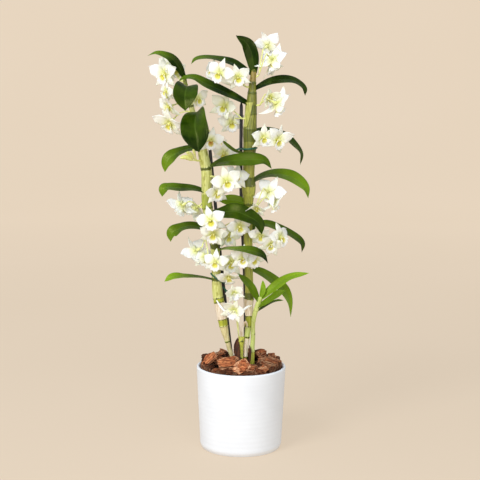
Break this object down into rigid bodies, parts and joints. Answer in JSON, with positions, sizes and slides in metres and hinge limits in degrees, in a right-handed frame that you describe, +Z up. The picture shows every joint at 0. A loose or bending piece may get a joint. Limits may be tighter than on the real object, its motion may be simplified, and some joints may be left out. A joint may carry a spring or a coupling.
{
  "type": "potted bamboo orchid",
  "caption": "Flowering bamboo orchid with upright leafy canes tied to black stakes and white blooms along them, in a white ceramic pot topped with bark.",
  "frame": {"origin": "centre of the pot's flat underside", "axes": "+Z up along the pot's axis, -Y towards the front of the picture, +X to the right as seen from the front"},
  "size_m": [0.2312, 0.13, 0.5993],
  "materials": {
    "ceramic": "matt",
    "bark": "rough",
    "cane": "satin, ribbed along its length",
    "stake": "matt",
    "tie": "satin",
    "husk": "dry and rough",
    "leaf": "waxy on top, matt underneath",
    "young_leaf": "satin",
    "petal": "soft and matt",
    "bud": "soft and matt"
  },
  "bodies": {
    "root": {"bark_bed": "bark", "cane_left": "cane", "cane_right": "cane", "cane_shoot": "cane", "cane_stub": "cane", "husk": "husk", "leaf_left_1": "leaf", "leaf_left_10": "leaf", "leaf_left_2": "leaf", "leaf_left_3": "leaf", "leaf_left_4": "leaf", "leaf_left_5": "leaf", "leaf_left_6": "leaf", "leaf_left_7": "young_leaf", "leaf_left_8": "leaf", "leaf_left_9": "leaf", "leaf_right_1": "leaf", "leaf_right_10": "leaf", "leaf_right_2": "leaf", "leaf_right_3": "leaf", "leaf_right_4": "leaf", "leaf_right_5": "leaf", "leaf_right_6": "leaf", "leaf_right_7": "leaf", "leaf_right_8": "leaf", "leaf_right_9": "leaf", "leaf_shoot_1": "leaf", "leaf_shoot_2": "young_leaf", "leaf_shoot_3": "young_leaf", "leaf_shoot_4": "young_leaf", "leaf_shoot_5": "leaf", "pot": "ceramic", "spray_left_1": "petal", "spray_left_10": "petal", "spray_left_11": "petal", "spray_left_12": "petal", "spray_left_2": "petal", "spray_left_3": "petal", "spray_left_4": "petal", "spray_left_5": "petal", "spray_left_6": "bud", "spray_left_7": "petal", "spray_left_8": "petal", "spray_left_9": "petal", "spray_right_1": "petal", "spray_right_2": "petal", "spray_right_3": "petal", "spray_right_4": "petal", "spray_right_5": "petal", "spray_right_6": "petal", "spray_right_7": "petal", "spray_right_8": "petal", "spray_stub": "petal", "stake_left": "stake", "stake_right": "stake", "tie_left": "tie", "tie_right": "tie"}
  },
  "joints": []
}
